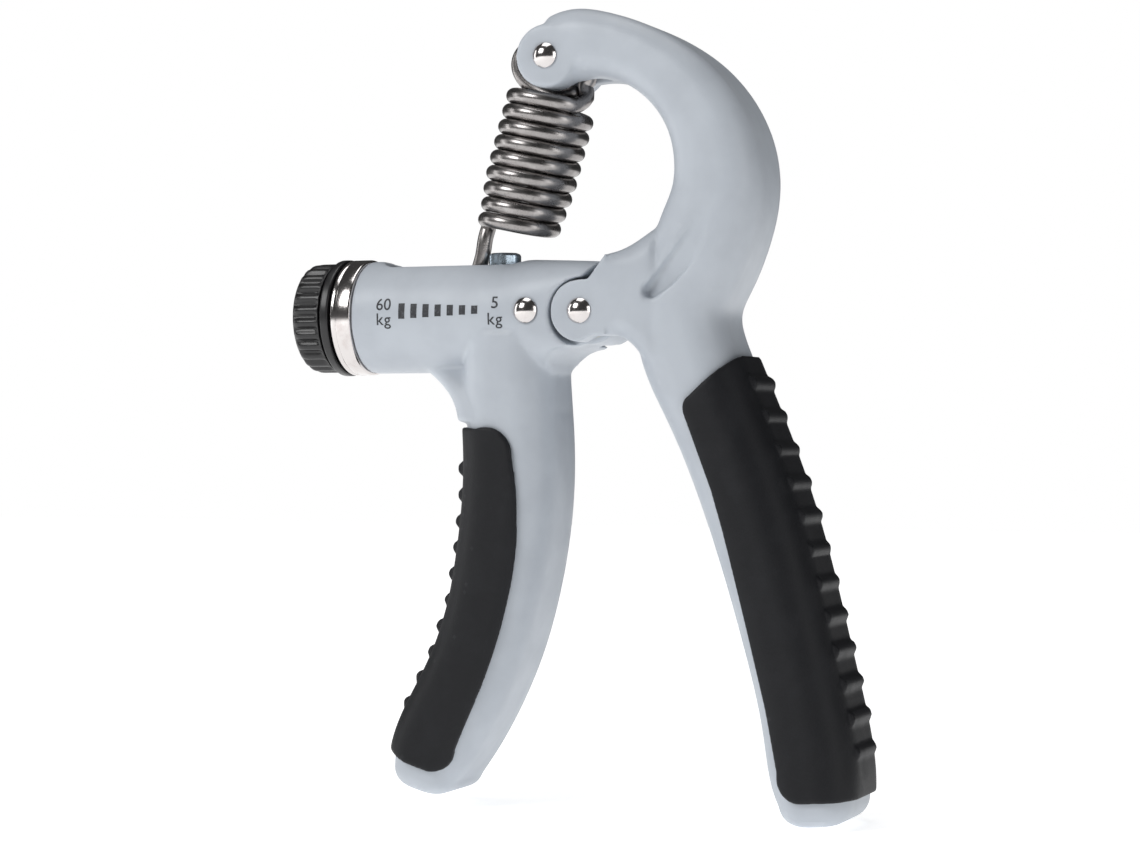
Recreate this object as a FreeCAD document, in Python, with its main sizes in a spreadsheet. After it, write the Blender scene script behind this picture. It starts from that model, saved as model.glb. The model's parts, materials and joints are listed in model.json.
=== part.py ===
import FreeCAD, Part
import math
import os
import Sketcher
from FreeCAD import Placement, Rotation, Vector

# An adjustable spring hand grip: a palm handle whose arm bows over the top, a finger handle
# that hinges in the arm's fork, and an extension spring from the bow to a carriage that the
# knob winds along the finger handle's barrel. Lengths are in millimetres. Every sub-part is
# drawn about the main pivot (x to the right, z up, y through the thickness) and then placed,
# so that the frame's origin lies under the middle of the object.

DIMENSIONS = {
    # placing
    "pivot_right": 4.14, "pivot_height": 95.63,
    # palm handle: arm, fork and clevis
    "half_depth": 11.2, "bow_height": 27.3, "bow_inner": 17.3, "ear_radius": 5.9, "fork_half": 6.0,
    "fork_radius": 6.7, "clevis_half": 9.2, "clevis_radius": 6.1, "top_x": -7.8, "top_z": 48.7,
    "slot_half": 2.1, "loop_room": 10.6, "scoop_floor": 9.0, "scoop_tilt": 11.0,
    # finger handle: barrel, head and tongue
    "barrel_drop": -0.25, "barrel_radius": 11.1, "barrel_end": -48.1, "bore_radius": 7.7,
    "bore_end": -7.4, "tongue_radius": 6.2, "tongue_half": 5.7, "slot_left": -45.0,
    "slot_right": -12.9, "slot_wide": 10.0, "crank_x": -11.0, "crank_z": 0.2,
    # grips
    "grip_proud": 1.1, "rib_proud": 0.9,
    # knob, ring and screw
    "ring_left": -52.4, "ring_radius": 11.45, "knob_left": -61.5, "knob_right": -52.9,
    "knob_radius": 10.85, "flange_radius": 11.55, "flange_wide": 1.6, "groove_deep": 0.55,
    "flute_radius": 0.95, "screw_radius": 3.0, "screw_right": -15.2, "thread_pitch": 1.25,
    # carriage and hook screw
    "hook_x": -19.9, "hook_z": 7.1, "carriage_long": 9.0, "carriage_wide": 12.0,
    "carriage_top": 5.3, "stem_radius": 1.75, "head_low": 8.9, "head_high": 11.5,
    "head_flats": 6.0,
    # rivets
    "pin_radius": 1.95, "pin_play": 0.05, "dome_radius": 2.4, "dome_rise": 1.35,
    "top_pin_radius": 1.5,
    # spring
    "wire_radius": 1.5, "coil_radius": 7.4, "coil_small": 6.5, "coil_pitch": 3.06,
    "coil_top": -8.3, "loop_wide": 7.6, "loop_tall": 4.95, "hook_radius": 3.35, "loop_left": 1.3,
    "leg_left": 5.5,
    # printed scale
    "print_thick": 0.12, "print_z": 0.5, "bar_wide": 1.35, "bar_tall": 3.05, "bar_short": 1.7,
    "bar_first": -37.0, "bar_step": 2.57, "digit_wide": 1.6, "digit_tall": 2.9, "stroke": 0.42,
}

doc = FreeCAD.newDocument("HandGrip")
sheet = doc.addObject("Spreadsheet::Sheet", "Sizes")
for row, (word, size) in enumerate(DIMENSIONS.items(), start=1):
    sheet.set(f"A{row}", word)
    sheet.set(f"B{row}", str(size))
    sheet.setAlias(f"B{row}", word)
doc.recompute()


class Dim:
    """A length with its spreadsheet expression, so that one sum gives both."""

    def __init__(self, value, text):
        self.value = value
        self.text = text

    @staticmethod
    def of(other):
        return other if isinstance(other, Dim) else Dim(float(other), repr(float(other)))

    def _join(self, other, sign, value):
        return Dim(value, f"({self.text} {sign} {other.text})")

    def __add__(self, other):
        other = Dim.of(other)
        return self._join(other, "+", self.value + other.value)

    def __sub__(self, other):
        other = Dim.of(other)
        return self._join(other, "-", self.value - other.value)

    def __mul__(self, other):
        other = Dim.of(other)
        return self._join(other, "*", self.value * other.value)

    def __truediv__(self, other):
        other = Dim.of(other)
        return self._join(other, "/", self.value / other.value)

    def __neg__(self):
        return self * -1

    __radd__ = __add__
    __rmul__ = __mul__

    def __rsub__(self, other):
        return Dim.of(other) - self

    def __float__(self):
        return self.value


def size(word):
    """The sheet's cell of that name."""
    return Dim(float(sheet.get(word)), f"Sizes.{word}")


PLACE = Placement(Vector(float(size("pivot_right")), 0, float(size("pivot_height"))), Rotation())
made = []


def new_body(name):
    body = doc.addObject("PartDesign::Body", name)
    body.Label = name
    body.Placement = PLACE
    made.append(body)
    return body


def new_sketch(body, name, role="XZ_Plane", offset=None):
    """A sketch on one of the body's own origin planes, moved by offset within that plane."""
    sketch = body.newObject("Sketcher::SketchObject", f"{body.Name}_{name}")
    plane = next(item for item in body.Origin.OriginFeatures if item.Role == role)
    sketch.AttachmentSupport = [(plane, "")]
    sketch.MapMode = "FlatFace"
    if offset is not None:
        sketch.AttachmentOffset = offset
    return sketch


def hold(sketch, geometry, end, x, y):
    """Fix one end of an edge at (x, y), bound to the sheet where x or y is a Dim."""
    for kind, axis, at in (("DistanceX", -2, Dim.of(x)), ("DistanceY", -1, Dim.of(y))):
        if abs(at.value) < 1e-9:
            sketch.addConstraint(Sketcher.Constraint("PointOnObject", geometry, end, axis))
            continue
        index = sketch.addConstraint(Sketcher.Constraint(kind, -1, 1, geometry, end, at.value))
        if "Sizes." in at.text:
            sketch.setExpression(f"Constraints[{index}]", at.text)


def outline(sketch, start, steps):
    """Draw a closed outline: a step is (x, z) for a line or (mid x, mid z, x, z) for an arc."""
    last_gap = max(abs(float(steps[-1][-2]) - float(start[0])), abs(float(steps[-1][-1]) - float(start[1])))
    if last_gap > 1e-6:
        steps = list(steps) + [start]
    here = start
    edges = []
    for step in steps:
        there = step[-2:]
        first = Vector(float(here[0]), float(here[1]), 0)
        last = Vector(float(there[0]), float(there[1]), 0)
        if len(step) == 2:
            edges.append((sketch.addGeometry(Part.LineSegment(first, last)), 1, 2))
        else:
            middle = Vector(float(step[0]), float(step[1]), 0)
            circle = Part.Arc(first, middle, last).toShape().Curve
            left_turn = (middle - first).cross(last - middle).z > 0
            begin, finish = (first, last) if left_turn else (last, first)
            from_angle, to_angle = (math.atan2(end.y - circle.Center.y, end.x - circle.Center.x)
                                    for end in (begin, finish))
            flat = Part.Circle(circle.Center, Vector(0, 0, 1), circle.Radius)
            arc = Part.ArcOfCircle(flat, from_angle, to_angle + math.tau * (to_angle < from_angle))
            edges.append((sketch.addGeometry(arc), 1, 2) if left_turn else
                         (sketch.addGeometry(arc), 2, 1))
        here = there
    corners = [start] + [step[-2:] for step in steps[:-1]]
    for (index, tail, _), (before, _, head), corner in zip(edges, edges[-1:] + edges[:-1], corners):
        sketch.addConstraint(Sketcher.Constraint("Coincident", before, head, index, tail))
        hold(sketch, index, tail, *corner)
    return edges


def ring_at(sketch, x, y, radius):
    """A circle in a sketch with its centre and radius bound to the sheet."""
    x, y, radius = Dim.of(x), Dim.of(y), Dim.of(radius)
    centre = Vector(x.value, y.value, 0)
    index = sketch.addGeometry(Part.Circle(centre, Vector(0, 0, 1), radius.value))
    hold(sketch, index, 3, x, y)
    rule = sketch.addConstraint(Sketcher.Constraint("Radius", index, radius.value))
    if "Sizes." in radius.text:
        sketch.setExpression(f"Constraints[{rule}]", radius.text)


def feature(body, kind, sketch, length=None, symmetric=True, backwards=False):
    """A Pad or Pocket of a sketch; a length of None cuts through all."""
    item = body.newObject(f"PartDesign::{kind}", f"{sketch.Name}_{kind.lower()}")
    item.Profile = sketch
    if length is None:
        item.Type = "ThroughAll"
    else:
        length = Dim.of(length)
        item.Length = length.value
        if "Sizes." in length.text:
            item.setExpression("Length", length.text)
    item.Midplane = symmetric
    item.Reversed = backwards
    sketch.Visibility = False
    doc.recompute()
    return item


def cut_must_bite(body, build):
    """Run a cutting step and stop if it removed nothing."""
    before = body.Shape.Volume
    build()
    doc.recompute()
    if body.Shape.Volume > before - 0.05:
        raise RuntimeError(f"a cut in {body.Label} removed nothing")


def section(body, name, x, z, turn, wide, deep, corner):
    """A rounded rectangle across a limb: wide along its turned x axis, deep along y."""
    wide, deep, corner = Dim.of(wide), Dim.of(deep), Dim.of(corner)
    offset = Placement(Vector(float(x), 0, float(z)), Rotation(Vector(0, 1, 0), -float(turn)))
    sketch = new_sketch(body, name, "XY_Plane", offset)
    w, d, r = wide.value / 2, deep.value / 2, corner.value
    sides = [((r - w, -d), (w - r, -d)), ((w, r - d), (w, d - r)),
             ((w - r, d), (r - w, d)), ((-w, d - r), (-w, r - d))]
    for (x1, y1), (x2, y2) in sides:
        sketch.addGeometry(Part.LineSegment(Vector(x1, y1, 0), Vector(x2, y2, 0)))
    centres = [(w - r, r - d, -90), (w - r, d - r, 0), (r - w, d - r, 90), (r - w, r - d, 180)]
    for cx, cy, begin in centres:
        circle = Part.Circle(Vector(cx, cy, 0), Vector(0, 0, 1), r)
        sketch.addGeometry(Part.ArcOfCircle(circle, math.radians(begin), math.radians(begin + 90)))
    for side in range(4):
        arc = 4 + side
        sketch.addConstraint(Sketcher.Constraint("Tangent", side, 2, arc, 1))
        sketch.addConstraint(Sketcher.Constraint("Tangent", arc, 2, (side + 1) % 4, 1))
    sketch.addConstraint(Sketcher.Constraint("Horizontal", 2))
    sketch.addConstraint(Sketcher.Constraint("Vertical", 3))
    sketch.addConstraint(Sketcher.Constraint("Symmetric", 0, 1, 0, 2, -2))
    sketch.addConstraint(Sketcher.Constraint("Symmetric", 1, 1, 1, 2, -1))
    for arc in (5, 6, 7):
        sketch.addConstraint(Sketcher.Constraint("Equal", 4, arc))
    rules = [(Sketcher.Constraint("DistanceX", 3, 1, 1, 1, wide.value), wide),
             (Sketcher.Constraint("DistanceY", 0, 1, 2, 1, deep.value), deep),
             (Sketcher.Constraint("Radius", 4, corner.value), corner)]
    for rule, amount in rules:
        index = sketch.addConstraint(rule)
        if "Sizes." in amount.text:
            sketch.setExpression(f"Constraints[{index}]", amount.text)
    sketch.Visibility = False
    return sketch


def loft(body, name, stations):
    """Loft through rounded rectangles given as (x, z, turn, wide, deep, corner)."""
    sketches = [section(body, f"{name}_{i}", *row) for i, row in enumerate(stations)]
    item = body.newObject("PartDesign::AdditiveLoft", f"{body.Name}_{name}")
    item.Profile = sketches[0]
    item.Sections = sketches[1:]
    doc.recompute()
    return item


def revolve(body, name, start, steps, along="X", at=(0, 0)):
    """Turn an outline of (distance along, radius) about an axis along X, Y or Z."""
    if along == "X":
        sketch = new_sketch(body, name, "XZ_Plane", Placement(Vector(0, float(at[1]), 0), Rotation()))
        axis = "H_Axis"
    elif along == "Y":
        offset = Placement(Vector(float(at[0]), 0, float(at[1])), Rotation())
        sketch = new_sketch(body, name, "XY_Plane", offset)
        axis = "V_Axis"
        start = (start[1], start[0])
        steps = [(s[1], s[0]) if len(s) == 2 else (s[1], s[0], s[3], s[2]) for s in steps]
    else:
        sketch = new_sketch(body, name, "XZ_Plane", Placement(Vector(float(at[0]), 0, 0), Rotation()))
        axis = "V_Axis"
        start = (start[1], start[0])
        steps = [(s[1], s[0]) if len(s) == 2 else (s[1], s[0], s[3], s[2]) for s in steps]
    outline(sketch, start, steps)
    item = body.newObject("PartDesign::Revolution", f"{body.Name}_{name}_turned")
    item.Profile = sketch
    item.ReferenceAxis = (sketch, [axis])
    item.Angle = 360
    sketch.Visibility = False
    doc.recompute()
    return item


# ---------------------------------------------------------------- limbs shared by several parts

def bow_stations(grow=0.0):
    """Stations round the bow: the inside is a circle, the outside swells towards the handle."""
    outer = {107: 30.4, 84: 29.8, 60: 29.2, 36: 30.7, 12: 33.0, -12: 34.9, -34: 36.6}
    inner = float(size("bow_inner"))
    rise = float(size("bow_height"))
    rows = []
    for angle, reach in outer.items():
        turn = math.radians(angle)
        middle = (inner + reach) / 2
        share = max(0.0, min(1.0, (107 - angle) / 100))
        depth = 2 * (float(size("clevis_half")) * (1 - share) + float(size("half_depth")) * share)
        wide = reach - inner
        x = middle * math.cos(turn)
        z = rise + middle * math.sin(turn)
        rows.append((x, z, angle, wide + 2 * grow, depth + 2 * grow, 0.36 * wide + grow))
    return rows


PALM = [(18.3, -3.0, 4, 17.4), (23.35, -17.0, 20, 17.4), (32.2, -39.0, 19, 16.8),
        (38.6, -61.0, 14.5, 15.9), (42.6, -78.0, 9, 16.1), (44.2, -88.0, 7, 15.6),
        (44.8, -91.2, 5, 14.0)]
FINGER = [(-16.5, -4.0, 0, 16.8), (-16.9, -16.0, 0, 17.8), (-16.4, -34.0, 0, 17.8),
          (-17.7, -46.0, -8, 17.6), (-20.2, -58.0, -16, 16.9), (-24.6, -70.0, -24, 16.6),
          (-29.4, -79.0, -27, 16.6), (-32.8, -85.5, -20, 15.2), (-34.0, -89.0, -16, 12.8)]


def handle_stations(rows, grow=0.0):
    """Stations down a handle; grow adds that much all round."""
    depth = 2 * float(size("half_depth"))
    return [(x, z, turn, wide + 2 * grow, depth + 2 * grow, 0.4 * wide + grow)
            for x, z, turn, wide in rows]


def add_tip(body, row, drop_all, radius):
    """Close a handle with a rounded end below its last station."""
    x, z, turn, wide, deep, corner = row
    slant = math.radians(turn)
    stations = []
    for share in (0.0, 0.5, 0.8, 0.95, 1.0):
        drop = drop_all * share
        inset = radius * (1 - math.sqrt(1 - share * share))
        stations.append((x + drop * math.sin(slant), z - drop * math.cos(slant), turn,
                         wide - 2 * inset, deep - 2 * inset, corner - 0.9 * inset))
    loft(body, "tip", stations)


def across(body, name, x, z, radius, length=None):
    """Bore a hole through the thickness at (x, z)."""
    sketch = new_sketch(body, name)
    ring_at(sketch, x, z, radius)
    cut_must_bite(body, lambda: feature(body, "Pocket", sketch, length))


def outward_cut(body, name, side, depth, draw, tilt=0.0, about=0.0):
    """Cut everything beyond y = side * depth inside the outline that draw makes."""
    turn = Rotation(Vector(0, 1, 0), tilt * side)
    base = Placement(Vector(about, 0, -side * float(depth)), turn)
    shift = Placement(Vector(-about, 0, 0), Rotation())
    sketch = new_sketch(body, name, "XZ_Plane", base.multiply(shift))
    draw(sketch)
    cut_must_bite(body, lambda: feature(body, "Pocket", sketch, 14.0, False, side < 0))


def palm_handle():
    """The right-hand piece: handle, bow, clevis and the fork round the pivot."""
    body = new_body("palm_handle")
    stations = bow_stations() + handle_stations(PALM)
    loft(body, "limb", stations)
    add_tip(body, stations[-1], 4.2, 4.4)
    clevis = new_sketch(body, "clevis")
    ring_at(clevis, size("top_x"), size("top_z"), size("clevis_radius"))
    feature(body, "Pad", clevis, size("clevis_half") * 2)
    ear, depth = size("ear_radius"), 2 * float(size("half_depth"))
    arm = new_sketch(body, "arm")
    outline(arm, (0, -ear), [(-ear, 0, 0, ear), (1.7, ear), (5.3, 10.75), (5.3, -4.7), (2.2, -4.7)])
    feature(body, "Pad", arm, size("half_depth") * 2)
    loft(body, "arm_root", [(5.2, 3.0, 90, 15.5, depth, 2.0), (8.4, 3.2, 90, 17.6, depth, 4.3),
                            (11.4, 2.5, 90, 23.2, depth, 6.0), (14.4, 1.4, 90, 29.4, depth - 0.4, 6.5)])
    fork = new_sketch(body, "fork")
    room = size("fork_radius")
    outline(fork, (0, -room), [(room, 0, 0, room), (-9, room), (-9, -room)])
    cut_must_bite(body, lambda: feature(body, "Pocket", fork, size("fork_half") * 2))
    slot = new_sketch(body, "loop_slot")
    ring_at(slot, size("top_x") - 0.8, size("top_z") - 2.3, size("loop_room"))
    cut_must_bite(body, lambda: feature(body, "Pocket", slot, size("slot_half") * 2))
    across(body, "pivot_hole", 0, 0, size("pin_radius"))
    across(body, "top_hole", size("top_x"), size("top_z"), size("top_pin_radius") + size("pin_play"))
    for side in (-1, 1):
        def scoop(sketch):
            outline(sketch, (26.4, 20.2), [(20.9, 13.4, 13.7, 4.9), (12.9, 3.0, 14.7, 2.1),
                                           (22.6, 8.6, 26.4, 20.2)])
        name = "scoop_front" if side < 0 else "scoop_back"
        outward_cut(body, name, side, size("scoop_floor"), scoop, float(size("scoop_tilt")), 15.0)
    return body


def finger_handle():
    """The left-hand piece: handle, barrel, head and the tongue that the pivot goes through."""
    body = new_body("finger_handle")
    stations = handle_stations(FINGER)
    loft(body, "limb", stations)
    add_tip(body, stations[-1], 3.6, 4.0)
    barrel = new_sketch(body, "barrel", "YZ_Plane", Placement(Vector(0, 0, -48.1), Rotation()))
    barrel.setExpression("AttachmentOffset.Base.z", "Sizes.barrel_end")
    drop, radius = size("barrel_drop"), size("barrel_radius")
    ring_at(barrel, 0, drop, radius)
    feature(body, "Pad", barrel, -17.5 - size("barrel_end"), False)
    round_wide = 2 * float(radius)
    inside = round_wide - 0.5
    loft(body, "throat", [(-27.8, -9.6, 0, 19.6, 9.0, 4.0), (-25.6, -12.6, 0, 15.2, 14.4, 5.4),
                          (-23.9, -15.4, 0, 11.6, 18.0, 5.0), (-22.5, -21.0, 0, 8.4, 20.8, 3.9)])
    loft(body, "head", [(-18.0, float(drop), 90, inside, inside, 0.49 * inside),
                        (-9.0, float(drop) - 0.35, 90, round_wide - 0.7, 22.2, 7.6),
                        (6.8, float(drop) - 0.75, 90, round_wide - 1.7, 22.4, 5.0)])
    room = size("ear_radius") + 0.5
    disc_edge = size("tongue_radius")
    clear = [(3.9, 10.0), (3.9, 14), (16, 14), (16, -20), (-7.9, -20), (-7.9, -11.8),
             (-7.0, -8.6, -4.2, -7.0), (-2.2, -6.5)]
    for side in (-1, 1):
        name = "ear_front" if side < 0 else "ear_back"
        outward_cut(body, name, side, size("tongue_half"),
                    lambda s: outline(s, (0.2, room), clear + [(-room, 0, 0.2, room)]))
    tongue = new_sketch(body, "tongue")
    outline(tongue, (0.2, room), clear + [(-1.0, -6.1), (disc_edge, 0, 0.2, 6.18)])
    cut_must_bite(body, lambda: feature(body, "Pocket", tongue, size("tongue_half") * 2 + 0.2))
    bore = new_sketch(body, "bore", "YZ_Plane", Placement(Vector(0, 0, -48.1), Rotation()))
    bore.setExpression("AttachmentOffset.Base.z", "Sizes.barrel_end")
    ring_at(bore, 0, drop, size("bore_radius"))
    reach = size("bore_end") - size("barrel_end")
    cut_must_bite(body, lambda: feature(body, "Pocket", bore, reach, False, True))
    slot = new_sketch(body, "slot", "XY_Plane", Placement(Vector(0, 0, 3.0), Rotation()))
    half, left, right = size("slot_wide") / 2, size("slot_left"), size("slot_right")
    outline(slot, (left + half, -half), [(right - half, -half), (right, 0, right - half, half),
                                         (left + half, half), (left, 0, left + half, -half)])
    cut_must_bite(body, lambda: feature(body, "Pocket", slot, None, False, True))
    across(body, "pivot_hole", 0, 0, size("pin_radius") + size("pin_play"))
    across(body, "crank_hole", size("crank_x"), size("crank_z"), size("pin_radius"))
    return body


def edge_point(rows, z, side, grow):
    """A point on a handle's outer edge at height z, grown outwards."""
    for (x1, z1, t1, w1), (x2, z2, t2, w2) in zip(rows, rows[1:]):
        a = (x1 + side * (w1 / 2 + grow) * math.cos(math.radians(t1)),
             z1 + side * (w1 / 2 + grow) * math.sin(math.radians(t1)))
        b = (x2 + side * (w2 / 2 + grow) * math.cos(math.radians(t2)),
             z2 + side * (w2 / 2 + grow) * math.sin(math.radians(t2)))
        if b[1] <= z <= a[1]:
            share = (a[1] - z) / (a[1] - b[1])
            return a[0] + share * (b[0] - a[0]), z
    raise ValueError(f"no station reaches z = {z}")


def grip(name, stations, grown, draw, rows, side, rib_heights, rib_radius):
    """A rubber grip moulded over a handle's outer side, with a row of cross ribs."""
    body = new_body(name)
    loft(body, "skin", grown)
    ribs = new_sketch(body, "ribs")
    for height in rib_heights:
        x, z = edge_point(rows, height, side, float(size("grip_proud")) - rib_radius
                          + float(size("rib_proud")))
        ring_at(ribs, x, z, rib_radius)
    feature(body, "Pad", ribs, 12.0)
    window = new_sketch(body, "window")
    outline(window, (-90, -120), [(90, -120), (90, 90), (-90, 90)])
    draw(window)
    cut_must_bite(body, lambda: feature(body, "Pocket", window))
    sections = [section(body, f"limb_{i}", *row) for i, row in enumerate(stations)]
    item = body.newObject("PartDesign::SubtractiveLoft", f"{name}_hollow")
    item.Profile = sections[0]
    item.Sections = sections[1:]
    doc.recompute()
    return body


def palm_grip():
    grow = float(size("grip_proud"))
    stations = bow_stations() + handle_stations(PALM)
    grown = handle_stations(PALM, grow)
    def draw(sketch):
        outline(sketch, (36.0, -5.0), [(31.0, -8.0), (21.9, -16.2), (20.9, -17.6, 21.0, -19.4),
                                       (26.4, -33.6), (29.2, -43.6, 31.8, -53.8), (36.7, -73.8),
                                       (38.9, -85.2), (40.2, -89.4, 44.4, -90.6), (62.0, -89.6),
                                       (62.0, -5.0)])
    heights = [-14.0 - 6.15 * i for i in range(12)]
    return grip("palm_grip", stations, grown, draw, PALM, 1, heights, 1.6)


def finger_grip():
    grow = float(size("grip_proud"))
    stations = handle_stations(FINGER)
    grown = handle_stations(FINGER, grow)
    def draw(sketch):
        outline(sketch, (-40.0, -21.2), [(-21.0, -22.2), (-15.2, -23.4, -13.5, -28.0),
                                         (-12.6, -41.0, -14.6, -54.9), (-17.1, -63.7, -20.4, -72.2),
                                         (-26.0, -84.2), (-28.0, -87.6, -31.4, -88.2),
                                         (-36.0, -86.8), (-52.0, -79.0)])
    heights = [-30.0 - 5.1 * i for i in range(10)]
    return grip("finger_grip", stations, grown, draw, FINGER, -1, heights, 1.5)


def rivet(name, x, z, radius, half):
    """A through rivet with a domed head at each end; half is the grip's half thickness."""
    body = new_body(name)
    dome, rise = size("dome_radius"), size("dome_rise")
    far = half + rise
    dome_r, dome_h = float(dome), float(rise)
    ball = (dome_r ** 2 + dome_h ** 2) / (2 * dome_h)
    slope = math.asin(dome_r / ball) / 2
    out, along = ball * math.sin(slope), float(far) - ball + ball * math.cos(slope)
    revolve(body, "shank", (-far, 0), [(-along, out, -half, dome), (-half, radius), (half, radius),
                                       (half, dome), (along, out, far, 0)], "Y", (x, z))
    return body


def disc(name, x1, x2, inner, outer):
    """A plain ring about the barrel's axis."""
    body = new_body(name)
    revolve(body, "ring", (x1, inner), [(x1, outer), (x2, outer), (x2, inner)],
            "X", (0, size("barrel_drop")))
    return body


def trim_ring():
    """The polished end bushing, with a spigot inside the barrel."""
    body = new_body("trim_ring")
    left, end, out = size("ring_left"), size("barrel_end"), size("ring_radius")
    hole = size("screw_radius") + 0.1
    revolve(body, "bush", (left, hole), [(left, out - 0.35), (left + 0.35, out), (end - 0.35, out),
                                         (end, out - 0.35), (end, size("bore_radius")),
                                         (end + 4.5, size("bore_radius")), (end + 4.5, hole)],
            "X", (0, size("barrel_drop")))
    return body


def knob():
    """The fluted adjusting knob with its flange and groove."""
    body = new_body("knob")
    left, right, out = size("knob_left"), size("knob_right"), size("knob_radius")
    flange, wide, deep = size("flange_radius"), size("flange_wide"), size("groove_deep")
    core = size("screw_radius")
    revolve(body, "body", (right, core),
            [(right, flange - 0.3), (right - 0.3, flange), (right - wide + 0.3, flange),
             (right - wide, flange - 0.3), (right - wide, out - deep),
             (right - wide - 0.7, out - deep), (right - wide - 0.7, out), (left + 1.9, out),
             (left + 0.55, out - 0.55, left, out - 1.9), (left, 4.2), (left + 0.6, 3.6),
             (left + 0.6, 0), (right - 6.6, 0), (right - 6.6, core)],
            "X", (0, size("barrel_drop")))
    start = float(right - wide - 1.1)
    offset = Placement(Vector(0, float(size("barrel_drop")), start), Rotation())
    flute = new_sketch(body, "flute", "YZ_Plane", offset)
    ring_at(flute, 0, out + 0.35, size("flute_radius"))
    before = body.Shape.Volume
    cut = feature(body, "Pocket", flute, 6.2, False)
    if body.Shape.Volume > before - 0.05:
        raise RuntimeError("the flute cut nothing")
    pattern = body.newObject("PartDesign::PolarPattern", "knob_flutes")
    pattern.Originals = [cut]
    pattern.Axis = (flute, ["N_Axis"])
    pattern.Angle = 360
    pattern.Occurrences = 26
    body.Tip = pattern
    doc.recompute()
    return body


def lead_screw():
    """The screw that the knob turns, with a plain journal at each end."""
    body = new_body("lead_screw")
    radius, right, pitch = size("screw_radius"), size("screw_right"), size("thread_pitch")
    head = size("knob_right") - 6.6
    steps = [(head, radius)]
    for turn in range(20):
        begin = -41.5 + pitch * turn
        steps += [(begin, radius), (begin + pitch * 0.42, radius - 0.5), (begin + pitch * 0.84, radius)]
    steps += [(right - 0.4, radius), (right, radius - 0.4), (right, 2.2), (-13.4, 2.2), (-13.4, 0)]
    revolve(body, "bar", (head, 0), steps, "X", (0, size("barrel_drop")))
    return body


def bearing_block():
    """The plug that the barrel rivet pins, which carries the screw's inner journal."""
    body = new_body("bearing_block")
    radius, left, right = size("bore_radius"), -14.6, size("bore_end")
    revolve(body, "plug", (left, 2.25), [(left, radius - 0.4), (left + 0.4, radius), (right, radius),
                                         (right, 0), (-13.2, 0), (-13.2, 2.25)],
            "X", (0, size("barrel_drop")))
    across(body, "rivet_hole", size("crank_x"), size("crank_z"), size("pin_radius"))
    return body


def carriage():
    """The nut block that the screw drives, flat on top where the spring hooks on."""
    body = new_body("carriage")
    half = size("carriage_long") / 2
    left, right = size("hook_x") - half, size("hook_x") + half
    bore = size("screw_radius") + 0.06
    revolve(body, "nut", (left, bore), [(left, 7.0), (left + 0.4, 7.4), (right - 0.4, 7.4),
                                        (right, 7.0), (right, bore)],
            "X", (0, size("barrel_drop")))
    flat = new_sketch(body, "flat")
    top = size("carriage_top")
    outline(flat, (left - 2, top), [(right + 2, top), (right + 2, top + 5), (left - 2, top + 5)])
    cut_must_bite(body, lambda: feature(body, "Pocket", flat))
    hole = new_sketch(body, "tapped", "XY_Plane", Placement(Vector(0, 0, 2.5), Rotation()))
    ring_at(hole, size("hook_x"), 0, size("stem_radius"))
    cut_must_bite(body, lambda: feature(body, "Pocket", hole, None, False, True))
    return body


def hook_screw():
    """The upright hexagon-headed screw that holds the spring's hook down."""
    body = new_body("hook_screw")
    low, high, stem = size("head_low"), size("head_high"), size("stem_radius")
    revolve(body, "stem", (3.1, 0), [(3.1, stem), (low, stem), (low, 3.0), (high + 0.15, 3.0),
                                     (high + 0.4, 2.3), (high + 0.4, 0)], "Z", (size("hook_x"), 0))
    hexagon = new_sketch(body, "head", "XY_Plane", Placement(Vector(0, 0, float(low)), Rotation()))
    corner = float(size("head_flats")) / math.sqrt(3)
    centre = float(size("hook_x"))
    points = [(centre + corner * math.cos(math.radians(60 * i + 12)),
               corner * math.sin(math.radians(60 * i + 12))) for i in range(6)]
    outline(hexagon, points[0], points[1:])
    feature(body, "Pad", hexagon, high - low, False)
    return body


def hook_washer():
    """The washer between the carriage and the spring's hook."""
    body = new_body("hook_washer")
    top = size("carriage_top")
    revolve(body, "ring", (top, size("stem_radius")), [(top, 4.4), (top + 0.25, 4.4),
                                                       (top + 0.25, size("stem_radius"))],
            "Z", (size("hook_x"), 0))
    return body


def pivot_washers():
    """Two thin washers between the tongue and the fork's ears."""
    body = new_body("pivot_washers")
    near, far = size("tongue_half"), size("fork_half")
    hole = size("pin_radius")
    for sign, name in ((1, "back"), (-1, "front")):
        sketch_steps = [(far * sign, hole), (far * sign, 5.2), (near * sign, 5.2)]
        revolve(body, name, (near * sign, hole), sketch_steps, "Y", (0, 0))
    return body


def tube(path, radius):
    """A round bar swept along a wire."""
    first = path.OrderedEdges[0]
    start = first.valueAt(first.FirstParameter)
    along = first.tangentAt(first.FirstParameter)
    if (start - path.OrderedVertexes[0].Point).Length > 1e-6:
        start = first.valueAt(first.LastParameter)
        along = -first.tangentAt(first.LastParameter)
    ring = Part.Wire(Part.makeCircle(radius, start, along))
    return path.makePipeShell([ring], True, True)


def coil(top, turns, radius, foot_radius):
    """Close-wound turns below height top, tapering evenly to foot_radius."""
    pitch, wire = float(size("coil_pitch")), float(size("wire_radius"))
    height = pitch * turns
    slope = math.degrees(math.atan2(radius - foot_radius, height))
    helix = Part.makeHelix(pitch, height, foot_radius, slope)
    solid = tube(Part.Wire(helix.Edges), wire)
    solid.translate(Vector(0, 0, top - height))
    return solid


def spring_part(name, shape):
    """Keep a spring shape drawn in the spring's own upright frame about the top pin."""
    item = doc.addObject("Part::Feature", name)
    item.Label = name
    item.Shape = shape
    dx = float(size("top_x") - size("hook_x"))
    dz = float(size("top_z") - size("hook_z"))
    lean = math.degrees(math.atan2(dx, dz))
    pin = Vector(float(size("top_x")), 0, float(size("top_z")))
    stand = Placement(pin, Rotation(Vector(0, 1, 0), lean)).multiply(shape.Placement)
    item.Placement = PLACE.multiply(stand)
    made.append(item)
    return item


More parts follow.
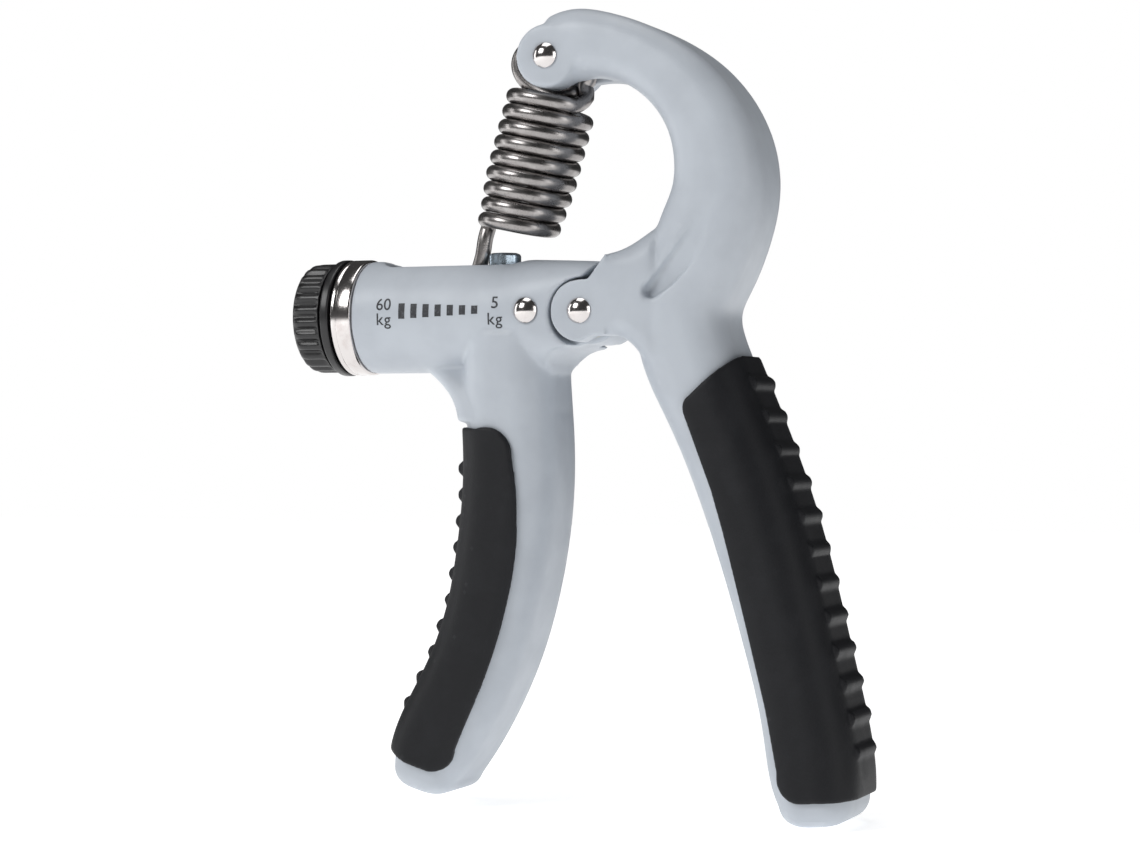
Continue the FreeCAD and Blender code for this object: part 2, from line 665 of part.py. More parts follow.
def spring():
    """The extension spring in three sub-parts, so that it can lean and stretch."""
    wire, pitch = float(size("wire_radius")), float(size("coil_pitch"))
    radius, small, top = float(size("coil_radius")), float(size("coil_small")), float(size("coil_top"))
    wide, tall = float(size("loop_wide")), float(size("loop_tall"))
    crown = float(size("top_pin_radius")) + wire + 0.1
    frame = Part.Ellipse(Vector(-float(size("loop_left")), 0, crown - tall), wide, tall)
    frame.Axis = Vector(0, -1, 0)
    frame.XAxis = Vector(1, 0, 0)
    loop = tube(Part.Wire(frame.toShape()), wire)
    low = crown - 2 * tall
    strut = Part.makeCylinder(wire, abs(top - low) + 2.2, Vector(4.6, 0, low + 0.2),
                              Vector(0.86, 0, -0.51))
    first = coil(top, 2, radius, radius)
    spring_part("spring_upper", loop.fuse([strut, first]).removeSplitter())
    spring_part("spring_middle", coil(top - 2 * pitch, 4, radius, radius))
    last = coil(top - 6 * pitch, 2, radius, small)
    dx, dz = float(size("top_x") - size("hook_x")), float(size("top_z") - size("hook_z"))
    reach = math.hypot(dx, dz)
    turn = Rotation(Vector(0, 1, 0), -math.degrees(math.atan2(dx, dz)))
    hook = float(size("hook_radius"))
    centre = Vector(0, 0, -reach)
    eye = Part.makeTorus(hook, wire, Vector(0, 0, 0), Vector(0, 0, 1), -180, 180, 300)
    eye.rotate(Vector(0, 0, 0), Vector(0, 0, 1), 180)
    eye.Placement = Placement(centre, turn).multiply(eye.Placement)
    foot = centre + turn.multVec(Vector(-float(size("leg_left")), 0, 0))
    toe = centre + turn.multVec(Vector(-hook, 0, 0))
    knee = Vector(-small, 0, top - 8 * pitch)
    leg = Part.makeCylinder(wire, (foot - knee).Length, knee, foot - knee)
    sole = Part.makeCylinder(wire, (toe - foot).Length, foot, toe - foot)
    ends = [sole, Part.makeSphere(wire, knee), Part.makeSphere(wire, foot), Part.makeSphere(wire, toe)]
    spring_part("spring_lower", last.fuse([leg, eye] + ends).removeSplitter())


def print_on_barrel(name, marks):
    """Thin print on the barrel's front, in the shape of marks given as (x, z, wide, tall)."""
    radius, thick, drop = size("barrel_radius"), size("print_thick"), size("barrel_drop")
    skins = []
    for layer, reach in (("under", radius), ("over", radius + thick)):
        skin = doc.addObject("Part::Cylinder", f"{name}_{layer}")
        skin.setExpression("Radius", reach.text)
        skin.setExpression("Height", "-Sizes.barrel_end")
        skin.Placement = Placement(Vector(float(size("barrel_end")), 0, float(drop)),
                                   Rotation(Vector(0, 1, 0), 90))
        skins.append(skin)
    shell = doc.addObject("Part::Cut", f"{name}_shell")
    shell.Base, shell.Tool = skins[1], skins[0]
    stamps = []
    for index, (x, z, wide, tall) in enumerate(marks):
        x, z, wide, tall = (Dim.of(item) for item in (x, z, wide, tall))
        stamp = doc.addObject("Part::Box", f"{name}_mark_{index}")
        stamp.setExpression("Length", wide.text)
        stamp.setExpression("Height", tall.text)
        stamp.setExpression("Width", "Sizes.barrel_radius")
        stamp.setExpression("Placement.Base.x", (x - wide / 2).text)
        stamp.setExpression("Placement.Base.y", "-1.5 * Sizes.barrel_radius")
        stamp.setExpression("Placement.Base.z", (z - tall / 2).text)
        stamps.append(stamp)
    group = doc.addObject("Part::MultiFuse", f"{name}_marks")
    group.Shapes = stamps
    item = doc.addObject("Part::Common", name)
    item.Label = name
    item.Base, item.Tool = shell, group
    item.Placement = PLACE
    doc.recompute()
    made.append(item)


def scale_bars():
    """Seven upright bars that shorten from the strong end to the light end."""
    count = 7
    drop = (size("bar_tall") - size("bar_short")) / (count - 1)
    print_on_barrel("scale_bars", [(size("bar_first") + size("bar_step") * index, size("print_z"),
                                    size("bar_wide"), size("bar_tall") - drop * index)
                                   for index in range(count)])


def digit(segments, x):
    """The strokes of a seven-segment digit centred on x."""
    z, wide, tall, line = size("print_z"), size("digit_wide"), size("digit_tall"), size("stroke")
    across_x, up_z = (wide - line) / 2, (tall - line) / 2
    strokes = {"top": (x, z + up_z, wide, line), "middle": (x, z, wide, line),
               "bottom": (x, z - up_z, wide, line)}
    for side, sign in (("left", -1), ("right", 1)):
        for half, lift in (("upper", 0.5), ("lower", -0.5)):
            strokes[f"{half}_{side}"] = (x + sign * across_x, z + lift * up_z, line, tall / 2)
    return [strokes[word] for word in segments.split()]


def scale_numerals():
    """The setting at each end of the scale: 60 at the knob, 5 at the pivot."""
    marks = digit("top upper_left middle bottom lower_left lower_right", -42.1)
    marks += digit("top bottom upper_left upper_right lower_left lower_right", -40.0)
    marks += digit("top upper_left middle lower_right bottom", -18.7)
    print_on_barrel("scale_numerals", marks)


def build():
    palm_handle()
    palm_grip()
    finger_handle()
    finger_grip()
    head = size("half_depth")
    rivet("pivot_rivet", 0, 0, size("pin_radius"), head)
    rivet("barrel_rivet", size("crank_x"), size("crank_z"), size("pin_radius"), head - 0.02)
    rivet("spring_rivet", size("top_x"), size("top_z"), size("top_pin_radius"),
          size("clevis_half") + 0.05)
    pivot_washers()
    trim_ring()
    knob()
    lead_screw()
    disc("thrust_washer", size("knob_right") + 0.05, size("ring_left") - 0.05,
         size("screw_radius") + 0.1, 7.5)
    disc("retaining_clip", -43.3, -42.5, size("screw_radius"), 5.2)
    bearing_block()
    carriage()
    hook_screw()
    hook_washer()
    spring()
    scale_bars()
    scale_numerals()


def check_and_write():
    for item in doc.Objects:
        if "Invalid" in item.State or "Error" in item.State:
            raise RuntimeError(f"{item.Label} did not build: {item.State}")
    os.makedirs("parts", exist_ok=True)
    for item in made:
        if item.Shape.isNull() or not item.Shape.isValid():
            raise RuntimeError(f"{item.Label} has no valid shape")
        item.Shape.exportStep(f"parts/{item.Label}.step")
        box = item.Shape.BoundBox
        print(f"{item.Label:16s} {len(item.Shape.Solids)} solids {item.Shape.Volume:9.1f} mm3",
              f"x {box.XMin:6.1f} {box.XMax:6.1f} y {box.YMin:6.1f} {box.YMax:6.1f}",
              f"z {box.ZMin:6.1f} {box.ZMax:6.1f}")


build()
check_and_write()
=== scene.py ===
import json
import logging
import math
from collections.abc import Callable, Mapping, Sequence
from dataclasses import dataclass, field
from enum import Enum

import bmesh
import bpy
import numpy as np
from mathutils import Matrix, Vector
from mathutils.bvhtree import BVHTree


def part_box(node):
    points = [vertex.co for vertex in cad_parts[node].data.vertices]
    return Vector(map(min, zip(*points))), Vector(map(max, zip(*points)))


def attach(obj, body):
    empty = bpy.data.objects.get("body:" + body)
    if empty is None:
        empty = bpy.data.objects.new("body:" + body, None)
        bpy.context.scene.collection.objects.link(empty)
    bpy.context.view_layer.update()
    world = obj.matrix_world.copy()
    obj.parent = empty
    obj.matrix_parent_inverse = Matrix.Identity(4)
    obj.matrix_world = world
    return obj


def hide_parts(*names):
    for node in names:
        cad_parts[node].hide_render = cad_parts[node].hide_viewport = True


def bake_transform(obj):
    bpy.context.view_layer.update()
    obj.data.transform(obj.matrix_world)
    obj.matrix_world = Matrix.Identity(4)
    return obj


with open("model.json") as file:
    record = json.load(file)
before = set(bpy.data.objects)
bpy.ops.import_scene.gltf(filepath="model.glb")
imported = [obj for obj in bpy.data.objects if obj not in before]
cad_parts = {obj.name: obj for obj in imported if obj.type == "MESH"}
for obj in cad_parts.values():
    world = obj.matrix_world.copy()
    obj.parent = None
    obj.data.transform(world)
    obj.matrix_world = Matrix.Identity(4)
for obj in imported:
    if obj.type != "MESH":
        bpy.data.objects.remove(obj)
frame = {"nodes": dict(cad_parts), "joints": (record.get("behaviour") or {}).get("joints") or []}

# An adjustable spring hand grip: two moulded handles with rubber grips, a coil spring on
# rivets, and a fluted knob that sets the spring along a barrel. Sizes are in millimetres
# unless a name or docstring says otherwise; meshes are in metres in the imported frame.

LOG = logging.getLogger("hand_grip")
MM = 0.001
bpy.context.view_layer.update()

Colour = tuple[float, float, float]
Pair = tuple[float, float]
Triple = tuple[float, float, float]


class Slot(Enum):
    """The record's material slots, by the words this script uses for them."""

    SHELL = "shell"
    GRIP = "grip"
    KNOB = "knob"
    BRIGHT = "bright"
    SPRING = "spring"
    ZINC = "zinc"
    STEEL = "steel"
    NYLON = "nylon"
    PRINT = "print"


class Axis(Enum):
    """The axis that a turned piece is turned about."""

    X = 0
    Y = 1
    Z = 2


# ------------------------------------------------------------------ shader tools


class Value:
    """One output socket of a material, with arithmetic that adds Math nodes."""

    def __init__(self, shader: "Shader", socket: bpy.types.NodeSocket) -> None:
        """Keep the socket and the shader that it belongs to."""
        self.shader = shader
        self.socket = socket

    def math(self, operation: str, first: "Value | float", second: "Value | float" = 0.0) -> "Value":
        """Add a Math node.

        Args:
            operation: the Math node's operation.
            first: its first input.
            second: its second input.

        Returns:
            The node's result.
        """
        node = self.shader.node("ShaderNodeMath", {"operation": operation}, {0: first, 1: second})
        return Value(self.shader, node.outputs[0])

    def __add__(self, other: "Value | float") -> "Value":
        """Sum."""
        return self.math("ADD", self, other)

    def __radd__(self, other: float) -> "Value":
        """Sum with a number on the left."""
        return self.math("ADD", other, self)

    def __sub__(self, other: "Value | float") -> "Value":
        """Difference."""
        return self.math("SUBTRACT", self, other)

    def __rsub__(self, other: float) -> "Value":
        """Difference from a number on the left."""
        return self.math("SUBTRACT", other, self)

    def __mul__(self, other: "Value | float") -> "Value":
        """Product."""
        return self.math("MULTIPLY", self, other)

    def __rmul__(self, other: float) -> "Value":
        """Product with a number on the left."""
        return self.math("MULTIPLY", other, self)

    def step(self, low: float, high: float) -> "Value":
        """Rise smoothly from 0 at low to 1 at high.

        Args:
            low: where the rise begins.
            high: where the rise ends.

        Returns:
            The smooth step.
        """
        node = self.shader.node("ShaderNodeMapRange", {"interpolation_type": "SMOOTHSTEP"},
                                {"Value": self, "From Min": low, "From Max": high})
        return Value(self.shader, node.outputs["Result"])


class Shader:
    """A material being built round one Principled BSDF."""

    def __init__(self, name: str) -> None:
        """Start an empty material of that name."""
        self.material = bpy.data.materials.new(name)
        self.material.use_nodes = True
        self.tree = self.material.node_tree
        self.tree.nodes.clear()
        self.place = self.output(self.node("ShaderNodeTexCoord"), "Object")

    def node(self, kind: str, settings: Mapping[str, object] | None = None,
             inputs: Mapping[str | int, object] | None = None) -> bpy.types.Node:
        """Add a node.

        Args:
            kind: the node's type.
            settings: attributes that are set first.
            inputs: values or links, by the socket's name or number.

        Returns:
            The new node.
        """
        made = self.tree.nodes.new(kind)
        for word, setting in (settings or {}).items():
            setattr(made, word, setting)
        for key, value in (inputs or {}).items():
            if isinstance(value, Value):
                self.tree.links.new(value.socket, made.inputs[key])
            else:
                made.inputs[key].default_value = value
        return made

    def output(self, node: bpy.types.Node, name: str | int = 0) -> Value:
        """The node's named output."""
        return Value(self, node.outputs[name])

    def noise(self, size: float, detail: float = 3.0, stretch: Triple = (1.0, 1.0, 1.0),
              rough: float = 0.55) -> Value:
        """Fractal noise over the rest shape.

        Args:
            size: the blobs' size.
            detail: the octaves.
            stretch: how much longer the blobs are along x, y and z.
            rough: how strong the fine octaves are.

        Returns:
            The noise from 0 to 1.
        """
        scale = tuple(1.0 / (size * MM * longer) for longer in stretch)
        mapped = self.node("ShaderNodeMapping", None, {"Vector": self.place, "Scale": scale})
        node = self.node("ShaderNodeTexNoise", None, {"Vector": self.output(mapped), "Scale": 1.0,
                                                      "Detail": detail, "Roughness": rough})
        return self.output(node)

    def cells(self, size: float) -> Value:
        """Distance to the nearest of points scattered about size apart."""
        node = self.node("ShaderNodeTexVoronoi", None,
                         {"Vector": self.place, "Scale": 1.0 / (size * MM)})
        return self.output(node, "Distance")

    def edges(self, low: float, high: float) -> Value:
        """Where the surface is sharply convex.

        Args:
            low: the pointiness where the mask begins.
            high: the pointiness where it is full.

        Returns:
            The mask.
        """
        return self.output(self.node("ShaderNodeNewGeometry"), "Pointiness").step(low, high)

    def blend(self, share: Value | float, first: Colour | Value, second: Colour | Value) -> Value:
        """Mix two colours.

        Args:
            share: how much of the second shows.
            first: the colour at 0.
            second: the colour at 1.

        Returns:
            The mixed colour.
        """
        ends = [item if isinstance(item, Value) else (*item, 1.0) for item in (first, second)]
        node = self.node("ShaderNodeMix", {"data_type": "RGBA"}, {0: share, 6: ends[0], 7: ends[1]})
        return self.output(node, 2)

    def bump(self, height: Value, depth: float, strength: float = 1.0) -> Value:
        """Turn a height into a normal.

        Args:
            height: the height from 0 to 1.
            depth: how deep a height of 1 is.
            strength: how strongly it shows.

        Returns:
            The normal.
        """
        node = self.node("ShaderNodeBump", None,
                         {"Height": height, "Distance": depth * MM, "Strength": strength})
        return self.output(node)

    def finish(self, inputs: Mapping[str, object]) -> bpy.types.Material:
        """Close the material with a Principled BSDF.

        Args:
            inputs: the BSDF's values and links, by socket name.

        Returns:
            The material.
        """
        surface = self.node("ShaderNodeBsdfPrincipled", None, inputs)
        self.node("ShaderNodeOutputMaterial", None, {"Surface": self.output(surface)})
        return self.material


# ------------------------------------------------------------------ finishes


@dataclass(frozen=True)
class MouldedShell:
    """Satin blue-grey plastic with a fine spark-eroded grain and faint handling marks."""

    colour: Colour = (0.475, 0.512, 0.560)
    shade: Colour = (0.440, 0.475, 0.522)
    scuff: Colour = (0.56, 0.59, 0.63)
    roughness: float = 0.42

    def material(self) -> bpy.types.Material:
        """Build the material."""
        shader = Shader("satin_shell")
        cloud = shader.noise(9.0, 3.0).step(0.35, 0.7)
        tint = shader.blend(cloud, self.colour, self.shade)
        marks = shader.noise(2.2, 4.0, (5.0, 1.0, 1.0)).step(0.66, 0.74)
        worn = shader.edges(0.515, 0.56)
        tint = shader.blend(marks * 0.10 + worn * 0.16, tint, self.scuff)
        grain = shader.noise(0.28, 2.0)
        soft = shader.noise(3.5, 2.0)
        return shader.finish({
            "Base Color": tint, "Roughness": self.roughness + (cloud - 0.5) * 0.07 + grain * 0.06,
            "Specular IOR Level": 0.42, "Coat Weight": 0.06, "Coat Roughness": 0.32,
            "Normal": shader.bump(grain * 0.8 + soft * 0.2, 0.022, 0.55)})


@dataclass(frozen=True)
class GripRubber:
    """Soft black rubber with a pebbled skin, dusty where hands rub it."""

    colour: Colour = (0.0075, 0.0080, 0.0100)
    dust: Colour = (0.024, 0.025, 0.029)
    roughness: float = 0.50

    def material(self) -> bpy.types.Material:
        """Build the material."""
        shader = Shader("grip_rubber")
        cloud = shader.noise(6.0, 4.0).step(0.42, 0.75)
        rubbed = shader.edges(0.52, 0.60)
        pebble = shader.cells(0.34)
        grain = shader.noise(0.5, 3.0)
        return shader.finish({
            "Base Color": shader.blend(cloud * 0.22 + rubbed * 0.35, self.colour, self.dust),
            "Roughness": self.roughness + cloud * 0.09 - rubbed * 0.07,
            "Specular IOR Level": 0.26,
            "Normal": shader.bump(pebble * 0.6 + grain * 0.5, 0.035, 0.6)})


@dataclass(frozen=True)
class KnobPlastic:
    """Hard black plastic, semi-gloss, polished pale on the tops of the flutes."""

    colour: Colour = (0.007, 0.007, 0.008)
    worn: Colour = (0.030, 0.030, 0.033)
    roughness: float = 0.30

    def material(self) -> bpy.types.Material:
        """Build the material."""
        shader = Shader("knob_plastic")
        tops = shader.edges(0.53, 0.62)
        cloud = shader.noise(2.5, 4.0)
        grain = shader.noise(0.22, 2.0)
        return shader.finish({
            "Base Color": shader.blend(tops * 0.5 + cloud.step(0.6, 0.8) * 0.12,
                                       self.colour, self.worn),
            "Roughness": self.roughness + cloud * 0.12 - tops * 0.05,
            "Specular IOR Level": 0.5, "Coat Weight": 0.1, "Coat Roughness": 0.2,
            "Normal": shader.bump(grain, 0.012, 0.6)})


@dataclass(frozen=True)
class BrightMetal:
    """Polished nickel with faint hairlines round its own axis and a few smudges."""

    name: str = "polished_nickel"
    colour: Colour = (0.64, 0.61, 0.60)
    tarnish: Colour = (0.46, 0.40, 0.385)
    roughness: float = 0.13
    lines: Triple = (0.12, 6.0, 6.0)

    def material(self) -> bpy.types.Material:
        """Build the material."""
        shader = Shader(self.name)
        smudge = shader.noise(3.0, 4.0).step(0.5, 0.8)
        hair = shader.noise(0.35, 3.0, self.lines)
        return shader.finish({
            "Base Color": shader.blend(smudge * 0.5, self.colour, self.tarnish),
            "Metallic": 1.0, "Roughness": self.roughness + smudge * 0.06 + hair * 0.06,
            "Normal": shader.bump(hair, 0.006, 0.35)})


@dataclass(frozen=True)
class SpringWire:
    """Hard-drawn spring wire: dark, glossy, with draw lines and a little oil haze."""

    colour: Colour = (0.30, 0.285, 0.28)
    pale: Colour = (0.52, 0.50, 0.49)
    dark: Colour = (0.085, 0.078, 0.078)
    roughness: float = 0.20

    def material(self) -> bpy.types.Material:
        """Build the material."""
        shader = Shader("drawn_spring_wire")
        haze = shader.noise(2.6, 4.0)
        scale = shader.noise(0.5, 3.0, (1.0, 1.0, 0.5))
        tint = shader.blend(haze.step(0.45, 0.75) * 0.5, self.colour, self.pale)
        tint = shader.blend(scale.step(0.58, 0.72) * 0.55, tint, self.dark)
        return shader.finish({
            "Base Color": tint, "Metallic": 1.0,
            "Roughness": self.roughness + haze * 0.12 + scale * 0.05,
            "Normal": shader.bump(scale, 0.015, 0.5)})


@dataclass(frozen=True)
class PlatedSteel:
    """Plated or plain steel small parts, grained by the tool or the bath."""

    name: str
    colour: Colour
    stain: Colour
    roughness: float = 0.3

    def material(self) -> bpy.types.Material:
        """Build the material."""
        shader = Shader(self.name)
        cloud = shader.noise(1.4, 4.0).step(0.4, 0.75)
        grain = shader.noise(0.25, 3.0)
        worn = shader.edges(0.53, 0.62)
        return shader.finish({
            "Base Color": shader.blend(cloud * 0.6 - worn * 0.3, self.colour, self.stain),
            "Metallic": 0.95, "Roughness": self.roughness + cloud * 0.15 - worn * 0.06,
            "Normal": shader.bump(grain, 0.015, 0.5)})


@dataclass(frozen=True)
class NylonPlain:
    """Natural nylon with a faint flow pattern."""

    colour: Colour = (0.62, 0.60, 0.54)
    flow: Colour = (0.52, 0.50, 0.44)

    def material(self) -> bpy.types.Material:
        """Build the material."""
        shader = Shader("natural_nylon")
        flow = shader.noise(2.0, 3.0, (3.0, 1.0, 1.0))
        return shader.finish({
            "Base Color": shader.blend(flow, self.colour, self.flow),
            "Roughness": 0.42 + flow * 0.12,
            "Normal": shader.bump(flow, 0.02, 0.4)})


@dataclass(frozen=True)
class PadInk:
    """Charcoal pad-printing ink, thin and slightly uneven."""

    colour: Colour = (0.024, 0.026, 0.031)
    thin: Colour = (0.075, 0.080, 0.092)

    def material(self) -> bpy.types.Material:
        """Build the material."""
        shader = Shader("pad_ink")
        patch = shader.noise(0.45, 3.0)
        return shader.finish({
            "Base Color": shader.blend(patch.step(0.5, 0.75), self.colour, self.thin),
            "Roughness": 0.48 + patch * 0.1,
            "Normal": shader.bump(patch, 0.01, 0.4)})


@dataclass(frozen=True)
class StudioPaper:
    """The pale floor, which glows a little, and more away from the object."""

    colour: Colour = (0.93, 0.93, 0.93)
    glow: float = 1.0
    near: float = 0.70
    fade_from: float = 0.12
    fade_to: float = 0.75

    def material(self) -> bpy.types.Material:
        """Build the material."""
        shader = Shader("studio_paper")
        fibre = shader.noise(4.0, 2.0)
        tint = shader.blend(fibre, self.colour, tuple(part * 0.985 for part in self.colour))
        length = shader.node("ShaderNodeVectorMath", {"operation": "LENGTH"}, {0: shader.place})
        away = shader.output(length, "Value").step(self.fade_from, self.fade_to)
        light = shader.blend(away, (self.near,) * 3, (self.glow,) * 3)
        return shader.finish({
            "Base Color": tint, "Roughness": 0.9, "Specular IOR Level": 0.1,
            "Emission Color": light, "Emission Strength": 1.0})


FINISHES: dict[Slot, object] = {
    Slot.SHELL: MouldedShell(),
    Slot.GRIP: GripRubber(),
    Slot.KNOB: KnobPlastic(),
    Slot.BRIGHT: BrightMetal(),
    Slot.SPRING: SpringWire(),
    Slot.ZINC: PlatedSteel("blue_zinc", (0.47, 0.56, 0.64), (0.30, 0.38, 0.47), 0.26),
    Slot.STEEL: PlatedSteel("turned_steel", (0.40, 0.39, 0.38), (0.22, 0.21, 0.20), 0.3),
    Slot.NYLON: NylonPlain(),
    Slot.PRINT: PadInk(),
}


# ------------------------------------------------------------------ workshop: placing and meshes


class Workshop:
    """Places finished meshes on the frame's bodies and dresses them."""

    def __init__(self) -> None:
        """Build every finish once."""
        self.materials = {slot: finish.material() for slot, finish in FINISHES.items()}

    def piece(self, name: str, mesh: bpy.types.Mesh, slot: Slot) -> bpy.types.Object:
        """Make an object that doesn't ride on anything yet.

        Args:
            name: the piece's name.
            mesh: its mesh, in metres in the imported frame.
            slot: the material slot it takes its finish from.

        Returns:
            The new object.
        """
        mesh.materials.clear()
        mesh.materials.append(self.materials[slot])
        item = bpy.data.objects.new(name, mesh)
        bpy.context.scene.collection.objects.link(item)
        LOG.info("%s: %d faces, %s", name, len(mesh.polygons), slot.value)
        return item

    def mount(self, name: str, mesh: bpy.types.Mesh, slot: Slot, body: str,
              *nodes: str) -> bpy.types.Object:
        """Make a piece that rides on a body and stands for CAD nodes.

        Args:
            name: the piece's name.
            mesh: its mesh.
            slot: its material slot.
            body: the body it rides on.
            nodes: the CAD nodes that it stands for.

        Returns:
            The new object.
        """
        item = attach(self.piece(name, mesh, slot), body)
        if nodes:
            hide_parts(*nodes)
        return item

    def dress(self, node: str, slot: Slot) -> None:
        """Give a CAD node that stays its finish."""
        item = frame["nodes"][node]
        item.data.materials.clear()
        item.data.materials.append(self.materials[slot])
        LOG.info("%s: kept, %s", node, slot.value)


def joint_place(name: str) -> Vector:
    """The point a joint turns about, in metres."""
    return Vector(next(joint["pos_m"] for joint in frame["joints"] if joint["name"] == name))


def joint_axis(name: str) -> Vector:
    """The direction of a joint's axis."""
    return Vector(next(joint["axis"] for joint in frame["joints"] if joint["name"] == name))


def rise(value: float, low: float, high: float) -> float:
    """A smooth step from 0 at low to 1 at high."""
    share = min(1.0, max(0.0, (value - low) / (high - low)))
    return share * share * (3.0 - 2.0 * share)


def round_corners(corners: Sequence[Pair], radii: Mapping[int, float], steps: int = 5) -> list[Pair]:
    """Round the corners of an open profile.

    Args:
        corners: the profile's points.
        radii: the radius of each corner that is rounded, by its number.
        steps: how many points each rounding gets.

    Returns:
        The denser profile.
    """
    made: list[Pair] = []
    for index, corner in enumerate(corners):
        if index not in radii:
            made.append(corner)
            continue
        here = Vector(corner)
        back = Vector(corners[index - 1]) - here
        ahead = Vector(corners[index + 1]) - here
        reach = min(radii[index], back.length * 0.49, ahead.length * 0.49)
        first = here + back.normalized() * reach
        last = here + ahead.normalized() * reach
        for step in range(steps + 1):
            share = step / steps
            point = first.lerp(here, share).lerp(here.lerp(last, share), share)
            made.append((point.x, point.y))
    return made


def turned(name: str, profile: Sequence[Pair], axis: Axis, centre: Vector, segments: int = 96,
           carve: Callable[[float, float], float] | None = None) -> bpy.types.Mesh:
    """Turn a profile about an axis.

    Args:
        name: the mesh's name.
        profile: points (along, radius); a radius of 0 closes the piece on its axis.
        axis: the axis turned about.
        centre: a point on the axis, in metres, where along is 0.
        segments: the number of steps round.
        carve: the depth to take off the radius at (along, angle), if any.

    Returns:
        The closed mesh.
    """
    shell = bmesh.new()
    order = {Axis.X: (1, 2), Axis.Y: (2, 0), Axis.Z: (0, 1)}[axis]
    rings = []
    for along, radius in profile:
        ring = []
        for step in range(segments if radius > 0 else 1):
            angle = math.tau * step / segments
            reach = radius - (carve(along, angle) if carve else 0.0)
            spot = centre.copy()
            spot[axis.value] += along * MM
            spot[order[0]] += reach * math.cos(angle) * MM
            spot[order[1]] += reach * math.sin(angle) * MM
            ring.append(shell.verts.new(spot))
        rings.append(ring)
    closed = profile[0][1] > 0 and profile[-1][1] > 0
    pairs = list(zip(rings, rings[1:])) + ([(rings[-1], rings[0])] if closed else [])
    for here, there in pairs:
        for step in range(segments):
            after = (step + 1) % segments
            corners = [here[step % len(here)], here[after % len(here)],
                       there[after % len(there)], there[step % len(there)]]
            unique = list(dict.fromkeys(corners))
            if len(unique) > 2:
                shell.faces.new(unique)
    return sealed(name, shell)


def sealed(name: str, shell: bmesh.types.BMesh, sharp: float = 40.0) -> bpy.types.Mesh:
    """Turn a bmesh into a smooth-shaded mesh whose faces look outwards.

    Args:
        name: the mesh's name.
        shell: the bmesh, which is freed.
        sharp: the angle in degrees beyond which an edge stays sharp.

    Returns:
        The mesh.
    """
    bmesh.ops.recalc_face_normals(shell, faces=shell.faces)
    for face in shell.faces:
        face.smooth = True
    for edge in shell.edges:
        if len(edge.link_faces) == 2 and edge.calc_face_angle(0.0) > math.radians(sharp):
            edge.smooth = False
    mesh = bpy.data.meshes.new(name)
    shell.to_mesh(mesh)
    shell.free()
    return mesh


def joined(name: str, meshes: Sequence[bpy.types.Mesh]) -> bpy.types.Mesh:
    """Several meshes as one."""
    shell = bmesh.new()
    for mesh in meshes:
        shell.from_mesh(mesh)
        bpy.data.meshes.remove(mesh)
    return sealed(name, shell)


def moulded(name: str, node: str, voxel: float, rounds: int,
            weight: Callable[[np.ndarray], np.ndarray] | None = None) -> bpy.types.Mesh:
    """A CAD node's solid with its edges softened as a mould leaves them.

    Args:
        name: the new mesh's name.
        node: the CAD node that is copied.
        voxel: the size of the new faces.
        rounds: how many times the points relax towards their neighbours.
        weight: how freely each point relaxes, from 0 to 1, given places in millimetres.

    Returns:
        The new mesh.
    """
    shell = bmesh.new()
    shell.from_mesh(frame["nodes"][node].data)
    bmesh.ops.remove_doubles(shell, verts=shell.verts, dist=0.002 * MM)
    bmesh.ops.scale(shell, vec=(1 / MM, 1 / MM, 1 / MM), verts=shell.verts)
    rough = bpy.data.meshes.new(name + "_rough")
    shell.to_mesh(rough)
    shell.free()
    item = bpy.data.objects.new(name + "_rough", rough)
    bpy.context.scene.collection.objects.link(item)
    remesh = item.modifiers.new("even_faces", "REMESH")
    remesh.mode = "VOXEL"
    remesh.voxel_size = voxel
    bpy.context.view_layer.update()
    seen = item.evaluated_get(bpy.context.evaluated_depsgraph_get())
    mesh = bpy.data.meshes.new_from_object(seen)
    bpy.data.objects.remove(item)
    bpy.data.meshes.remove(rough)
    mesh.name = name
    count = len(mesh.vertices)
    places = np.empty(count * 3)
    mesh.vertices.foreach_get("co", places)
    places = places.reshape(-1, 3)
    ends = np.empty(len(mesh.edges) * 2, np.int64)
    mesh.edges.foreach_get("vertices", ends)
    first, second = ends.reshape(-1, 2).T
    share = np.bincount(first, minlength=count) + np.bincount(second, minlength=count)
    freedom = 0.6 if weight is None else 0.6 * weight(places)[:, None]
    for _ in range(rounds):
        total = np.stack([np.bincount(first, places[second, k], count)
                          + np.bincount(second, places[first, k], count) for k in range(3)], 1)
        places += freedom * (total / share[:, None] - places)
    mesh.vertices.foreach_set("co", (places * MM).ravel())
    mesh.shade_smooth()
    mesh.update()
    return mesh


# ------------------------------------------------------------------ handles and grips


@dataclass
class Handles:
    """The two moulded handles and the rubber on their outer sides."""

    voxel: float = 0.36
    grip_voxel: float = 0.30
    rounds: int = 9
    grip_rounds: int = 5
    crisp_reach: float = 9.0
    pivot: Vector = field(default_factory=lambda: joint_place("squeeze") / MM)

    def crisp_near_pivot(self, places: np.ndarray) -> np.ndarray:
        """Relax less round the fork, where the edges are sharp.

        Args:
            places: the points, in millimetres.

        Returns:
            How freely each point relaxes.
        """
        away = np.hypot(places[:, 0] - self.pivot.x, places[:, 2] - self.pivot.z)
        share = np.clip((away - self.crisp_reach) / 7.0, 0.0, 1.0)
        return 0.30 + 0.70 * share

    def build(self, shop: Workshop) -> None:
        """Make the handles and grips.

        Args:
            shop: places and dresses the pieces.
        """
        for side, body in (("palm", "palm"), ("finger", "finger")):
            shell = moulded(f"{side}_shell", f"{side}_handle", self.voxel, self.rounds,
                            self.crisp_near_pivot)
            shop.mount(f"{side}_shell", shell, Slot.SHELL, body, f"{side}_handle")
            rubber = moulded(f"{side}_rubber", f"{side}_grip", self.grip_voxel, self.grip_rounds)
            shop.mount(f"{side}_rubber", rubber, Slot.GRIP, body, f"{side}_grip")


